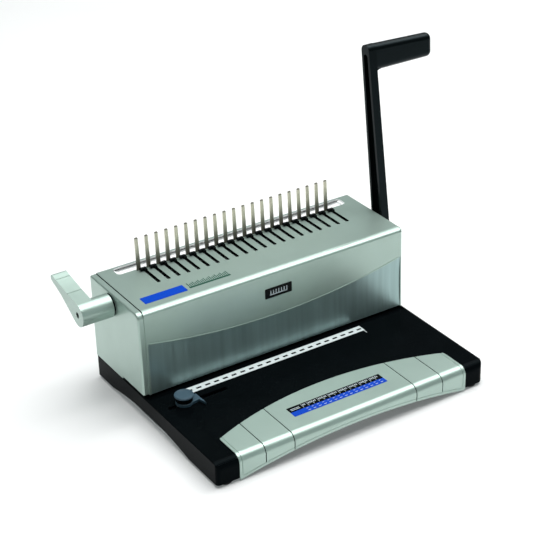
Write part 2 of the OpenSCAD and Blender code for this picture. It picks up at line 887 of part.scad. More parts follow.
base_shell();
bottom_plate();
rubber_feet();
bottom_screws();
front_panel();
size_chart_label();
scale_strip();
chip_tray();
guide_slider();
guide_pointer();
guide_knob();
guide_clamp_screw();
lower_die_plate();
punch_guide_plate();
paper_back_stop();
left_frame_plate();
right_frame_plate();
tie_rods();
tie_rod_nuts();
punch_shaft();
punch_cams();
punch_shaft_bushes();
bar_guide_rods();
punch_bar();
punch_pins();
pin_clamp_screws();
return_spring();
spring_collar();
handle_arm();
handle_washer();
handle_screw();
opener_shaft();
opener_pinions();
opener_bushes();
hook_carriage();
comb_hooks();
opener_racks();
carriage_rails();
crank_lever();
crank_screw();
comb_tines();
tine_bar();
comb_channel();
top_cover();
left_end_cap();
end_cap_bush();
rear_cover();
rear_screws();
blue_label();
tick_label();
front_badge();
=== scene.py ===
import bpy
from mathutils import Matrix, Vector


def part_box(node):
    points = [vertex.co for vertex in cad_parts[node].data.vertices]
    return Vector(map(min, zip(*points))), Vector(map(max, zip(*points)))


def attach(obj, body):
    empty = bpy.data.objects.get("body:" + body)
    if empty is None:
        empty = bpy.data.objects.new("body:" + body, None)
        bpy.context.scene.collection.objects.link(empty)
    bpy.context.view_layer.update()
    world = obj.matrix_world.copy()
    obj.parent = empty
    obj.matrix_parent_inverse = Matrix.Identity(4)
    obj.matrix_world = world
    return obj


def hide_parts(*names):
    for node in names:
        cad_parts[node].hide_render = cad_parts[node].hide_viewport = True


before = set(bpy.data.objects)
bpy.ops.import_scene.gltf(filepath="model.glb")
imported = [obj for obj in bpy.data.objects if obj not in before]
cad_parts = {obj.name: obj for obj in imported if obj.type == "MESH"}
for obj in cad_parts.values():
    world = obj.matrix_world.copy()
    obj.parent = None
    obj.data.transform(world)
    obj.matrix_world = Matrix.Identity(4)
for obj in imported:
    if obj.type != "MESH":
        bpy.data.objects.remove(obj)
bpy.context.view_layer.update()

import math

import bpy
from bpy.props import FloatProperty, FloatVectorProperty, PointerProperty
from mathutils import Euler, Matrix, Vector

bl_info = {
    "name": "Comb Binding Machine",
    "version": (1, 0, 0),
    "blender": (4, 5, 0),
    "location": "View3D > Sidebar > Binding",
    "description": "Builds the visible pieces of a comb binding machine around its CAD frame",
    "category": "Mesh",
}

MM = 0.001

# Places that several pieces share, in millimetres: the base's top and front, the foot and the
# top of the housing's leaning face, how far it leans, the arc over its scoop, the Y and Z of
# the two shafts, and the arches under the base
DECK_Z = 33.3
BASE_FRONT = -148
HOUSING_FRONT = 23
EAVES_Z = 140.5
LEAN = 2
ARC_RADIUS, ARC_X, ARC_LOW_Z = 900, -3, 87.5
PUNCH_SHAFT = (82, 95)
OPENER_SHAFT = (97, 131.7)
FRONT_ARCH_RADIUS, FRONT_ARCH_Z = 861, -843
SIDE_ARCH_RADIUS, SIDE_ARCH_Y, SIDE_ARCH_Z = 510, 13, -497


# ---------- sizes and colours ----------

def box_mm(name):
    """Lowest and highest corner of a CAD node, in millimetres."""
    low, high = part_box(name)
    return low / MM, high / MM


def linear(code):
    """A hex sRGB colour as linear red, green and blue."""
    parts = [int(code[i:i + 2], 16) / 255 for i in (0, 2, 4)]
    return tuple(p / 12.92 if p <= 0.04045 else ((p + 0.055) / 1.055) ** 2.4 for p in parts)


def size(name, description, default):
    """A length property, given in millimetres and kept in metres."""
    return FloatProperty(name=name, description=description, default=default * MM,
                         subtype="DISTANCE", unit="LENGTH")


def colour(name, description, code):
    """A colour property, given as a hex sRGB code."""
    return FloatVectorProperty(name=name, description=description, default=linear(code),
                               subtype="COLOR", size=3, min=0, max=1)


class BindingSizes(bpy.types.PropertyGroup):
    """Radii of the moulded edges and the distance between the scale's marks."""
    cover_fillet: size("Cover fillet", "Radius along the cover's front top edge", 9.5)
    cover_corner: size("Cover corner", "Radius of the cover's front right corner", 5)
    deck_fillet: size("Deck fillet", "Radius along the base's front top edge", 10)
    slot_corner: size("Slot corner", "Radius at the front end of a hook slot", 1.8)
    mark_pitch: size("Mark pitch", "Distance between the marks on the scale strip", 12.84)


class BindingColours(bpy.types.PropertyGroup):
    """Colours of the machine's main finishes."""
    lacquer: colour("Lacquer", "Silver lacquer of the cover and the panel", "ACC1B8")
    # The recess colour is the same lacquer drawn darker, as painted shade over the scooped face
    recess: colour("Recess", "The same lacquer over the draw-polished recess", "9DB6B5")
    base: colour("Base", "Black plastic of the base", "06090B")
    handle: colour("Handle", "Black plastic of the handle", "06090A")
    knob: colour("Knob", "Slate plastic of the edge guide", "38515F")
    tine: colour("Tine", "Nickel plate of the tines", "E2DCC6")
    label: colour("Label", "Blue of the printed labels", "0040B4")


# ---------- materials ----------

def node(tree, kind, inputs=None, **settings):
    """Adds a node, sets its properties, and sets or links its inputs."""
    made = tree.nodes.new(kind)
    for name, value in settings.items():
        setattr(made, name, value)
    for name, value in (inputs or {}).items():
        if isinstance(value, bpy.types.NodeSocket):
            tree.links.new(value, made.inputs[name])
        else:
            made.inputs[name].default_value = value
    return made


def finish(name, base, mottle, grain, rough, depth, mottle_by=(0.92, 1.08), stretch=(1, 1, 1),
           fades=(), **sockets):
    """A surface whose colour drifts over mottle millimetres, and whose roughness and height
    follow a grain of grain millimetres, depth millimetres deep. A fade is two heights in
    millimetres and the strength of the colour at each."""
    material = bpy.data.materials.new(name)
    material.use_nodes = True
    tree = material.node_tree
    tree.nodes.clear()
    place = node(tree, "ShaderNodeTexCoord").outputs["Object"]
    drawn = node(tree, "ShaderNodeMapping", {"Vector": place, "Scale": stretch}).outputs["Vector"]
    drift = node(tree, "ShaderNodeTexNoise", {
        "Vector": drawn, "Scale": 1 / (mottle * MM), "Detail": 3.0, "Roughness": 0.5})
    tooth = node(tree, "ShaderNodeTexNoise", {
        "Vector": drawn, "Scale": 1 / (grain * MM), "Detail": 2.0, "Roughness": 0.55})
    share = node(tree, "ShaderNodeMapRange", {
        "Value": drift.outputs["Fac"], "From Min": 0.3, "From Max": 0.7})
    low, high = (tuple(min(1.0, c * gain) for c in base) + (1.0,) for gain in mottle_by)
    shade = node(tree, "ShaderNodeMix", {0: share.outputs["Result"], 6: low, 7: high},
                 data_type="RGBA").outputs[2]
    for fade in fades:
        height = node(tree, "ShaderNodeSeparateXYZ", {"Vector": place}).outputs["Z"]
        strength = node(tree, "ShaderNodeMapRange", {
            "Value": height, "From Min": fade[0] * MM, "From Max": fade[1] * MM,
            "To Min": fade[2], "To Max": fade[3]}, interpolation_type="SMOOTHSTEP")
        shade = node(tree, "ShaderNodeVectorMath", {
            "Vector": shade, "Scale": strength.outputs["Result"]}, operation="SCALE").outputs[0]
    gloss = node(tree, "ShaderNodeMapRange", {
        "Value": tooth.outputs["Fac"], "From Min": 0.3, "From Max": 0.7,
        "To Min": rough[0], "To Max": rough[1]})
    relief = node(tree, "ShaderNodeBump", {
        "Height": tooth.outputs["Fac"], "Distance": depth * MM, "Strength": 1.0})
    shader = node(tree, "ShaderNodeBsdfPrincipled", {
        "Base Color": shade, "Roughness": gloss.outputs["Result"],
        "Normal": relief.outputs["Normal"]})
    # coat_weight names the socket Coat Weight, and ior names IOR
    for socket, value in sockets.items():
        shader.inputs[socket.replace("_", " ").title().replace("Ior", "IOR")].default_value = value
    node(tree, "ShaderNodeOutputMaterial", {"Surface": shader.outputs["BSDF"]})
    return material


def silver_lacquer(look):
    """Silver metallic lacquer sprayed on moulded ABS: a grey-green ground full of aluminium
    flakes, bright where it faces a light and dull where it doesn't. The flakes are 0.02 mm
    across, and are drawn 0.5 mm across so that they show."""
    return finish("Silver metallic lacquer on ABS", look.lacquer, 40, 0.5, (0.3, 0.37), 0.008,
                  (0.97, 1.03), metallic=0.62, coat_weight=0.15, coat_roughness=0.2)


def streaked_lacquer(look):
    """The same lacquer drawn darker, as painted shade, over a face whose mould was draw-polished up
    and down: upright streaks a few millimetres apart in its roughness and height break up what it
    reflects, and the same streaks in its colour are painted reflections."""
    return finish("Silver lacquer on draw-polished ABS", look.recess, 7, 3, (0.28, 0.38),
                  0.012, (0.9, 1.08), (1, 1, 0.03), metallic=0.72)


# The faint blue-green tint of what black plastic mirrors
COOL_SHEEN = (*linear("CBF3FF"), 1)


def black_abs(look):
    """Black ABS from a spark-eroded mould: a satin grain that spreads its faint, cool
    reflections. The grain is 0.25 mm across, and is drawn 0.6 mm across."""
    return finish("Black ABS with moulded grain", look.base, 30, 0.6, (0.2, 0.28), 0.006,
                  (0.85, 1.2), ior=1.54, specular_ior_level=0.02,
                  specular_tint=COOL_SHEEN)


def satin_nylon(look):
    """Black glass-filled nylon, moulded: smoother than the base, with a soft wide sheen."""
    return finish("Black glass-filled nylon", look.handle, 18, 0.9, (0.18, 0.26), 0.005,
                  (0.85, 1.15), ior=1.53, specular_ior_level=0.12,
                  specular_tint=COOL_SHEEN)


def slate_abs(look):
    """Slate-blue ABS with a satin moulded face."""
    return finish("Slate ABS", look.knob, 9, 0.6, (0.4, 0.5), 0.012, ior=1.54)


def nickel_plate(look):
    """Nickel plate over stamped spring steel: warm grey with lines along the blade from rolling.
    Its colour is darkened towards the foot and lightened higher up, as a painted reflection of the
    dark slots and the bright cover top, and it is dark on the cut tip."""
    # The first fade is painted reflection, dark at the foot and bright up the blade; the second
    # darkens the tip
    return finish("Nickel plated spring steel", look.tine, 5, 0.6, (0.24, 0.34), 0.003,
                  (0.9, 1.04), (1, 1, 0.05), ((158, 184, 0.25, 1.1), (192.4, 193.2, 1, 0.3)),
                  metallic=0.3)


def rolled_metal(name, code, rough, stretch=(0.03, 1, 1)):
    """Bare or plated metal with fine lines left by rolling or grinding."""
    return finish(name, linear(code), 12, 0.45, (rough - 0.05, rough + 0.07), 0.005,
                  (0.88, 1.06), stretch, metallic=1.0)


def plated_strip():
    """Bright-plated strip drawn almost white and barely metallic: its brightness is a painted
    reflection.
    """
    return finish("Bright-plated strip with painted reflection", linear("FAFCFC"), 12, 0.6, (0.35, 0.45), 0.004,
                  (0.97, 1.02), (0.05, 1, 1), metallic=0.05)


def printed_film(name, base, rough=0.35):
    """Screen-printed polyester film: even ink under a smooth clear face."""
    return finish(name, base, 3, 0.8, (rough - 0.04, rough + 0.05), 0.002, (0.94, 1.05),
                  specular_ior_level=0.12)


def moulded_rubber():
    """Moulded rubber, matt, with a dusty bloom in patches."""
    return finish("Moulded rubber", linear("1B1B1B"), 4, 0.8, (0.75, 0.9), 0.03, (0.8, 1.5))


def acetal():
    """Natural acetal: milky white and waxy, a little light gets into it."""
    return finish("Natural acetal", linear("E4E0D2"), 6, 1.5, (0.3, 0.4), 0.004,
                  subsurface_weight=0.12, subsurface_scale=0.002)


MATERIALS = {}


def make_materials(look):
    """Makes each material once, under the name of the record's slot that it stands for."""
    MATERIALS.update({
        "silver_paint": silver_lacquer(look),
        "streaked": streaked_lacquer(look),
        "black_abs": black_abs(look),
        "handle_plastic": satin_nylon(look),
        "slate_plastic": slate_abs(look),
        "tine_steel": nickel_plate(look),
        "zinc_plate": rolled_metal("Bright zinc plated steel", "C9CDCE", 0.32),
        "tool_steel": rolled_metal("Ground tool steel", "B4B6B7", 0.3),
        "channel_steel": plated_strip(),
        "spring_steel": rolled_metal("Drawn spring wire", "C2C6CA", 0.27),
        "bronze": rolled_metal("Sintered bronze", "C39A5E", 0.45, (1, 0.03, 1)),
        "black_screw": rolled_metal("Black oxide steel", "24282A", 0.42, (1, 1, 1)),
        "black_hooks": rolled_metal("Black oxide strip steel", "1B1F20", 0.4, (1, 1, 0.03)),
        "gear_plastic": acetal(),
        "rubber": moulded_rubber(),
        "label_blue": printed_film("Blue printed polyester film", look.label),
        "label_white": printed_film("White printed polyester film", linear("DDE6E6"), 0.42),
        "label_green": printed_film("Green printed film", linear("235344"), 0.42),
        "badge_black": printed_film("Black gloss acrylic", linear("07090A"), 0.2),
        "ink_pale": printed_film("Pale grey printing ink", linear("B9C4C8"), 0.42),
    })


# ---------- modelling ----------

def fresh():
    """Leaves edit mode and deselects everything."""
    if bpy.context.object and bpy.context.object.mode != "OBJECT":
        bpy.ops.object.mode_set(mode="OBJECT")
    bpy.ops.object.select_all(action="DESELECT")


def only(*pieces):
    """Selects just these objects and makes the first one active."""
    fresh()
    for piece in pieces:
        piece.select_set(True)
    bpy.context.view_layer.objects.active = pieces[0]


def edit(piece, mode="FACE"):
    """Enters edit mode on the piece with all of it selected."""
    only(piece)
    bpy.ops.object.mode_set(mode="EDIT")
    bpy.ops.mesh.select_mode(type=mode)
    bpy.ops.mesh.select_all(action="SELECT")


def settled(name):
    """Names the object just made, and puts its place into its mesh."""
    piece = bpy.context.object
    piece.name = piece.data.name = name
    only(piece)
    bpy.ops.object.transform_apply(location=True, rotation=True, scale=True)
    return piece


def outward(piece):
    """Merges doubled points and turns every face outwards."""
    edit(piece)
    bpy.ops.mesh.remove_doubles(threshold=0.001 * MM)
    bpy.ops.mesh.normals_make_consistent(inside=False)
    fresh()
    return piece


def block(name, low, high):
    """A box between two corners, in millimetres."""
    low, high = Vector(low) * MM, Vector(high) * MM
    fresh()
    bpy.ops.mesh.primitive_cube_add(size=1, location=(low + high) / 2, scale=high - low)
    return settled(name)


def rod(name, radius, start, end, sides=64):
    """A round bar between two points, in millimetres."""
    start, end = Vector(start) * MM, Vector(end) * MM
    fresh()
    turn = (end - start).to_track_quat("Z", "Y").to_euler()
    bpy.ops.mesh.primitive_cylinder_add(vertices=sides, radius=radius * MM,
                                        depth=(end - start).length,
                                        location=(start + end) / 2, rotation=turn)
    return settled(name)


def plate(name, outline, axis, low, high):
    """A flat outline carried along an axis. Outline points are the other two axes, in order."""
    fresh()
    bpy.ops.mesh.primitive_circle_add(vertices=len(outline), fill_type="NGON")
    piece = bpy.context.object
    for vertex, (u, v) in zip(piece.data.vertices, outline):
        spot = {"X": (low, u, v), "Y": (u, low, v), "Z": (u, v, low)}[axis]
        vertex.co = Vector(spot) * MM
    way = Vector([float(letter == axis) for letter in "XYZ"]) * (high - low) * MM
    edit(piece)
    bpy.ops.mesh.extrude_region_move(TRANSFORM_OT_translate={"value": way})
    settled(name)
    return outward(piece)


def lathe(name, outline, centre, steps=72):
    """An outline of (radius, height) points spun round an upright axis through centre."""
    fresh()
    bpy.ops.mesh.primitive_circle_add(vertices=len(outline), fill_type="NOTHING")
    piece = bpy.context.object
    for vertex, (radius, height) in zip(piece.data.vertices, outline):
        vertex.co = Vector((radius, 0, height)) * MM
    edit(piece, "EDGE")
    bpy.ops.mesh.spin(steps=steps, angle=2 * math.pi, center=(0, 0, 0), axis=(0, 0, 1))
    bpy.ops.object.mode_set(mode="OBJECT")
    piece.location = Vector(centre) * MM
    settled(name)
    return outward(piece)


def chain_outline(circles, steps=14):
    """Points round a row of circles (u, v, radius) joined by straight sides."""
    sides = []
    for (u0, v0, r0), (u1, v1, r1) in zip(circles, circles[1:]):
        heading = math.atan2(v1 - v0, u1 - u0)
        taper = math.asin((r0 - r1) / math.hypot(u1 - u0, v1 - v0))
        sides.append((heading + taper - math.pi / 2, heading - taper + math.pi / 2))

    def corner(circle, first, second):
        u, v, radius = circle
        middle, reach = (first + second) / 2, radius / math.cos((second - first) / 2)
        return u + reach * math.cos(middle), v + reach * math.sin(middle)

    def arc(circle, start, stop):
        u, v, radius = circle
        turns = [start + (stop - start) * k / steps for k in range(steps + 1)]
        return [(u + radius * math.cos(t), v + radius * math.sin(t)) for t in turns]

    middles = list(zip(circles[1:-1], sides, sides[1:]))
    points = [corner(c, a[0], b[0]) for c, a, b in middles]
    points += arc(circles[-1], *sides[-1])
    points += [corner(c, a[1], b[1]) for c, a, b in reversed(middles)]
    return points + arc(circles[0], sides[0][1], sides[0][0] + 2 * math.pi)


def modify(piece, kind, **settings):
    """Adds a modifier and applies it."""
    only(piece)
    modifier = piece.modifiers.new(kind.lower(), kind)
    for name, value in settings.items():
        setattr(modifier, name, value)
    bpy.ops.object.modifier_apply(modifier=modifier.name)
    return piece


def join(pieces):
    """Joins pieces that don't touch into the first one."""
    only(*pieces)
    bpy.ops.object.join()
    return bpy.context.object


def combine(piece, how, *tools):
    """Cuts the tools out of the piece, adds them or keeps what it shares with them."""
    for tool in tools:
        modify(piece, "BOOLEAN", object=tool, operation=how, solver="EXACT")
        bpy.data.objects.remove(tool)
    return piece


def cut(piece, *tools):
    return combine(piece, "DIFFERENCE", *tools)


def tidy(piece):
    """Merges doubled points and flat faces that a cut has left."""
    edit(piece)
    bpy.ops.mesh.remove_doubles(threshold=0.002 * MM)
    bpy.ops.mesh.dissolve_limited(angle_limit=math.radians(0.2))
    fresh()
    return piece


def round_edges(piece, rules, segments=6):
    """Rounds the edges a rule picks. A rule is (radius, test), and a test is given the edge's
    middle in millimetres and its direction."""
    mesh = piece.data
    width = max(radius for radius, _ in rules)
    weights = mesh.attributes.new("bevel_weight_edge", "FLOAT", "EDGE")
    for index, line in enumerate(mesh.edges):
        a, b = (mesh.vertices[v].co for v in line.vertices)
        found = [r for r, test in rules if test((a + b) / 2 / MM, (b - a).normalized())]
        if found:
            weights.data[index].value = found[0] / width
    modify(piece, "BEVEL", limit_method="WEIGHT", width=width * MM, segments=segments,
           use_clamp_overlap=False)
    left = piece.data.attributes.get("bevel_weight_edge")
    if left:
        piece.data.attributes.remove(left)
    return piece


def soften(piece, radius, segments=2, angle=34):
    """Breaks every sharp edge by a small radius in millimetres, and smooths the shading."""
    tidy(piece)
    modify(piece, "BEVEL", limit_method="ANGLE", angle_limit=math.radians(angle),
           width=radius * MM, segments=segments, use_clamp_overlap=True)
    only(piece)
    bpy.ops.object.shade_smooth_by_angle(angle=math.radians(32))
    return modify(piece, "WEIGHTED_NORMAL", keep_sharp=True, weight=80)


def give(piece, body, slot, *replaced, material=None):
    """Gives a finished piece the material of its slot, or the one named, puts it on its body and
    hides the CAD nodes it stands for.
    """
    piece.data.materials.clear()
    piece.data.materials.append(MATERIALS[material or slot])
    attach(piece, body)
    if replaced:
        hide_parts(*replaced)
    return piece


def runs(axis, where=lambda m: True):
    """A test for edges that run along an axis and whose middle is where it should be."""
    return lambda m, way: abs(way["XYZ".index(axis)]) > 0.99 and where(m)


def near(a, b):
    """True where two lengths in millimetres agree closely."""
    return abs(a - b) < 0.1


def front_edge(z):
    """A test for the front edge of a face at height z."""
    return runs("X", lambda m: near(m.z, z) and m.y < 60)


# ---------- operators ----------

class Builder(bpy.types.Operator):
    """Shared parts of every operator that builds pieces."""
    bl_options = {"REGISTER", "UNDO"}

    def execute(self, context):
        if not MATERIALS:
            make_materials(context.scene.binding_colours)
        self.build(context.scene.binding_sizes)
        fresh()
        return {"FINISHED"}


RINGS = 21
TINE_HALF = 2.75


def ring_xs():
    """X of every comb finger, from the row of tines."""
    low, high = box_mm("comb_tines")
    first, last = low.x + TINE_HALF, high.x - TINE_HALF
    return [first + (last - first) * k / (RINGS - 1) for k in range(RINGS)]


def lean(piece, shift=LEAN):
    """Moves the upper front edge of a tall block back, so that its face leans."""
    halfway = 100
    front = min(v.co.y for v in piece.data.vertices)
    for vertex in piece.data.vertices:
        if vertex.co.y < front + 0.01 * MM and vertex.co.z > halfway * MM:
            vertex.co.y += shift * MM
    return piece


def face_at(z):
    """Y of the housing's leaning front face at height z."""
    return HOUSING_FRONT + (z - DECK_Z) * LEAN / (EAVES_Z - DECK_Z)


def front_arch(sides):
    """The long arch under the machine's front edge, as a tool that cuts."""
    return rod("front_arch", FRONT_ARCH_RADIUS, (0, -170, FRONT_ARCH_Z),
               (0, -128, FRONT_ARCH_Z), sides)


def side_arch(x0, x1):
    """The arch under a side of the base, as a tool that cuts."""
    return rod("side_arch", SIDE_ARCH_RADIUS, (x0, SIDE_ARCH_Y, SIDE_ARCH_Z),
               (x1, SIDE_ARCH_Y, SIDE_ARCH_Z), 540)


class BINDING_OT_cover(Builder):
    """Builds the housing's top cover with its slots, its recess and the scooped front face"""
    bl_idname = "binding.cover"
    bl_label = "Top Cover"

    def build(self, sizes):
        low, high = box_mm("top_cover")
        fillet, corner = sizes.cover_fillet / MM, sizes.cover_corner / MM
        face, skin, side = 3.2, 2.5, 3
        cover = lean(block("cover_shell", low, high))
        round_edges(cover, [
            (fillet, front_edge(high.z)),
            (corner, lambda m, way: abs(way.z) > 0.9 and near(m.x, high.x) and m.y < 60),
            (3.5, runs("Y", lambda m: near(m.z, high.z) and near(m.x, high.x))),
            (1.2, runs("Y", lambda m: near(m.z, high.z) and near(m.x, low.x))),
        ], segments=10)
        hollow = lean(block("hollow", (low.x - 1, low.y + face, 20),
                            (high.x - side, 200, high.z - skin)))
        round_edges(hollow, [(fillet - face, front_edge(high.z - skin))])
        lifted = block("lifted", (low.x - 1, 0, 20), (high.x - side, 60, 35.5))
        rear = block("rear", (low.x - 1, 146.5, 20), (high.x + 1, 200, high.z - skin))
        cut(cover, hollow, lifted, rear)
        recess = block("recess", (-169, 128, 140), (179, 146, 160))
        round_edges(recess, [(5, runs("Z"))])
        cut(cover, self.slots(sizes.slot_corner / MM), recess,
            rod("shaft_hole", 8, (180, *PUNCH_SHAFT), (220, *PUNCH_SHAFT)))
        cut(cover, self.scoop(low, high))
        for x in (165, 176):
            cut(cover, block("witness", (x, 20, 38), (x + 0.35, 25.35, 104)))
        soften(cover, 0.35)
        give(cover, "machine", "silver_paint", "top_cover")
        self.paint(cover, low, high)
        self.bead()

    def slots(self, corner):
        """The hook slots and, behind them, the slits for the tines."""
        front, rear, slit_rear = 83, 124, 127.1
        slots = []
        for x in ring_xs():
            slots.append(block("slot", (x + 3.6, front, 140), (x + 8.4, rear, 160)))
            slots.append(block("slit", (x - 3.1, rear + 0.02, 140), (x + 3.1, slit_rear, 160)))
        return round_edges(join(slots), [(corner, runs("Z", lambda m: m.y < front + 1))], 5)

    def scoop(self, low, high):
        """The shallow hollow in the front face, under a long arc."""
        floor_z, roof_z, depth = 38, 125, 1.6
        mid = (floor_z + roof_z) / 2
        radius = ((roof_z - floor_z) / 2) ** 2 / (2 * depth)
        y, arc_z = face_at(mid) + depth - radius, ARC_LOW_Z + ARC_RADIUS
        drum = rod("drum", radius, (low.x + 3, y, mid), (high.x - 4, y, mid), 900)
        above = rod("above", ARC_RADIUS, (ARC_X, -20, arc_z), (ARC_X, 60, arc_z), 720)
        keep = block("keep", (low.x + 2, 10, floor_z - 10), (high.x - 3, 40, roof_z + 10))
        return cut(combine(keep, "INTERSECT", drum), above)

    def paint(self, cover, low, high):
        """Gives the scoop the darker streaked lacquer, which carries painted shade and painted
        reflections, paints the walls of the slots black as painted shade, and gives the walls of
        the recess the near-white strip colour as painted light.
        """
        streaked, black, plated = 1, 2, 3
        for name in ("streaked", "black_abs", "channel_steel"):
            cover.data.materials.append(MATERIALS[name])
        for poly in cover.data.polygons:
            m = poly.center / MM
            # The scoop's darker streaked lacquer is painted shade with painted reflection streaks
            if low.x + 3.2 < m.x < high.x - 4.2 and m.z < 108 and m.y < 40:
                if m.y > face_at(m.z) + 0.02 and poly.normal.y < -0.9:
                    poly.material_index = streaked
            elif 145 < m.z < high.z - 0.4 and abs(poly.normal.z) < 0.5:
                # Slot walls turn black as painted shade down the slots
                if 82 < m.y < 124.1:
                    poly.material_index = black
                # Recess walls take the near-white strip colour as painted light
                elif 127.5 < m.y < 146.4:
                    poly.material_index = plated

    def bead(self):
        """The raised bead that edges the scooped face along its arc."""
        z, front, wide = ARC_LOW_Z + ARC_RADIUS, 23.5, 1.2
        outer = ARC_RADIUS + 0.2
        bead = rod("cover_arc_bead", outer, (ARC_X, front, z), (ARC_X, 25, z), 720)
        cut(bead, rod("core", outer - wide, (ARC_X, 20, z), (ARC_X, 30, z), 720))
        combine(bead, "INTERSECT", block("span", (-186, 20, 80), (190, 30, 110)))
        give(soften(bead, 0.3), "machine", "silver_paint")


class BINDING_OT_end_cap(Builder):
    """Builds the left end cap with the hole for the opener's shaft"""
    bl_idname = "binding.end_cap"
    bl_label = "Left End Cap"

    def build(self, sizes):
        low, high = box_mm("left_end_cap")
        step = 0.8
        cap = lean(block("end_cap", (low.x, 23.9, DECK_Z), high), LEAN - 0.1)
        round_edges(cap, [(sizes.cover_fillet / MM - step, front_edge(high.z))], 10)
        round_edges(cap, [(2.6, lambda m, way: near(m.x, low.x) and m.z > 34 and m.y < 148)], 5)
        cut(cap, block("lift", (-250, 0, 20), (-150, 79, 36.5)),
            block("inside", (low.x + 3, 28, 20), (high.x + 1, 146, 146)),
            rod("shaft_hole", 7, (-220, *OPENER_SHAFT), (-180, *OPENER_SHAFT)))
        soften(cap, 0.4)
        give(cap, "machine", "silver_paint", "left_end_cap")


class BINDING_OT_rear_cover(Builder):
    """Builds the rear cover with its vents, and its six screws"""
    bl_idname = "binding.rear_cover"
    bl_label = "Rear Cover"

    def build(self, sizes):
        low, high = box_mm("rear_cover")
        rear = block("rear_panel", low, high)
        vents = [block("vent", (x - 14, 148, z), (x + 14, 152, z + 2.4))
                 for x in (-80, 80) for z in range(70, 101, 6)]
        screws = [(x, z) for x in (-160, 0, 160) for z in (45, 136)]
        sinks = [rod("sink", 4.2, (x, 148.2, z), (x, 152, z), 40) for x, z in screws]
        holes = [rod("hole", 1.6, (x, 140, z), (x, 149, z), 24) for x, z in screws]
        cut(rear, join(vents), join(sinks), join(holes))
        soften(rear, 0.35)
        give(rear, "machine", "silver_paint", "rear_cover")
        heads = []
        for x, z in screws:
            head = rod("head", 3, (x, 147.4, z), (x, 149, z), 36)
            cut(head, block("cross", (x - 1.7, 148.3, z - 0.4), (x + 1.7, 150, z + 0.4)),
                block("cross", (x - 0.4, 148.3, z - 1.7), (x + 0.4, 150, z + 1.7)))
            heads.append(head)
        heads = soften(join(heads), 0.2)
        give(heads, "machine", "black_screw", "rear_screws").name = "rear_screw_heads"


class BINDING_OT_base(Builder):
    """Builds the black base with its arches, paper bed and guide slot"""
    bl_idname = "binding.base"
    bl_label = "Base"

    def build(self, sizes):
        low, high = box_mm("base_shell")
        base = block("base_body", low, high)
        round_edges(base, [
            (sizes.deck_fillet / MM, front_edge(high.z)),
            (5, runs("Z", lambda m: m.y < 0 and m.x < 0)),
            (9, runs("Z", lambda m: m.y < 0 and m.x > 0)),
            (3, runs("Z", lambda m: m.y > 0)),
            (1.2, runs("Y", lambda m: near(m.z, high.z))),
        ], segments=8)
        wall, deck_under, bed_under, bed_z = 3, 30.5, 28.5, 31
        right, rear = high.x - wall, high.y - wall
        cut(base, block("hollow", (low.x + wall, low.y + wall, 0), (right, 12.5, deck_under)),
            block("hollow", (low.x + wall, 12.4, 0), (right, rear, bed_under)),
            block("bed", (low.x + 2, 15, bed_z), (right, rear, 50)),
            block("window", (-184, 30, 10), (184, 104, 50)),
            front_arch(720), side_arch(-210, -188), side_arch(188, 210),
            block("tray_mouth", (194, 58, -1), (199, 106, 29.5)))
        slot = block("guide_slot", (-184.35, -17, 20), (-102.35, -11, 50))
        cut(base, round_edges(slot, [(0.6, runs("Z"))], 3))
        soften(base, 0.5)
        give(base, "machine", "black_abs", "base_shell")


class BINDING_OT_front_panel(Builder):
    """Builds the silver panel that wraps over the front edge of the deck"""
    bl_idname = "binding.front_panel"
    bl_label = "Front Panel"

    def build(self, sizes):
        low, high = box_mm("front_panel")
        fillet = sizes.deck_fillet / MM

        def hull(name, grow, x0, x1, bottom=2):
            """The base's front outline, grown outwards, between two X."""
            body = block(name, (x0, BASE_FRONT - grow, bottom), (x1, 0, DECK_Z + grow))
            rim = runs("X", lambda m: near(m.z, DECK_Z + grow) and m.y < -90)
            return round_edges(body, [(fillet + grow, rim)], 12)

        panel = cut(hull("front_panel_shell", 1, low.x, high.x),
                    hull("inner", 0, low.x - 5, high.x + 5, -5))
        plan_radius, plan_y = 433, -503.5
        plan = combine(block("plan", (low.x, -200, -10), (high.x, 0, 60)), "INTERSECT",
                       rod("arc", plan_radius, (0, plan_y, -20), (0, plan_y, 80), 1400))
        round_edges(plan, [(7, runs("Z", lambda m: near(m.x, low.x) and m.y > -150)),
                           (12, runs("Z", lambda m: near(m.x, high.x) and m.y > -150))], 8)
        combine(panel, "INTERSECT", plan)
        cut(panel, front_arch(1200))
        floor, lip_z = 0.25, FRONT_ARCH_Z
        grooves = [(x, 0.6, 12) for x in (-131, -90.5, 90.5, 131)]
        grooves += [(x, 0.35, 8) for x in (-163.6, 163.6)]
        strips = join([hull("groove", 3, x - half, x + half, bottom)
                       for x, half, bottom in grooves])
        cut(strips, hull("floor", floor, low.x, high.x, -5))
        lip = cut(rod("lip", FRONT_ARCH_RADIUS + 4.3, (0, -160, lip_z), (0, -148.6, lip_z), 1200),
                  rod("core", FRONT_ARCH_RADIUS + 3.6, (0, -170, lip_z), (0, -140, lip_z), 1200))
        lip = combine(lip, "INTERSECT", block("span", (-162, -160, 0), (162, -140, 30)))
        cut(panel, strips, lip)
        soften(panel, 0.15)
        give(panel, "machine", "silver_paint", "front_panel")
        # Black groove floors are painted shade
        self.paint_groove_shade(panel, fillet, floor)

    def paint_groove_shade(self, panel, fillet, floor):
        """Paints the floors of the grooves black, as painted shade down in the grooves."""
        panel.data.materials.append(MATERIALS["black_abs"])
        bend_y, bend_z = BASE_FRONT + fillet, DECK_Z - fillet
        for poly in panel.data.polygons:
            m = poly.center / MM
            over = max(m.z - DECK_Z, BASE_FRONT - m.y)
            if m.y < bend_y and m.z > bend_z:
                over = math.hypot(m.y - bend_y, m.z - bend_z) - fillet
            poly.material_index = int(near(over, floor) and m.y < -60 and m.z > 11
                                      and abs(m.x) < 160)


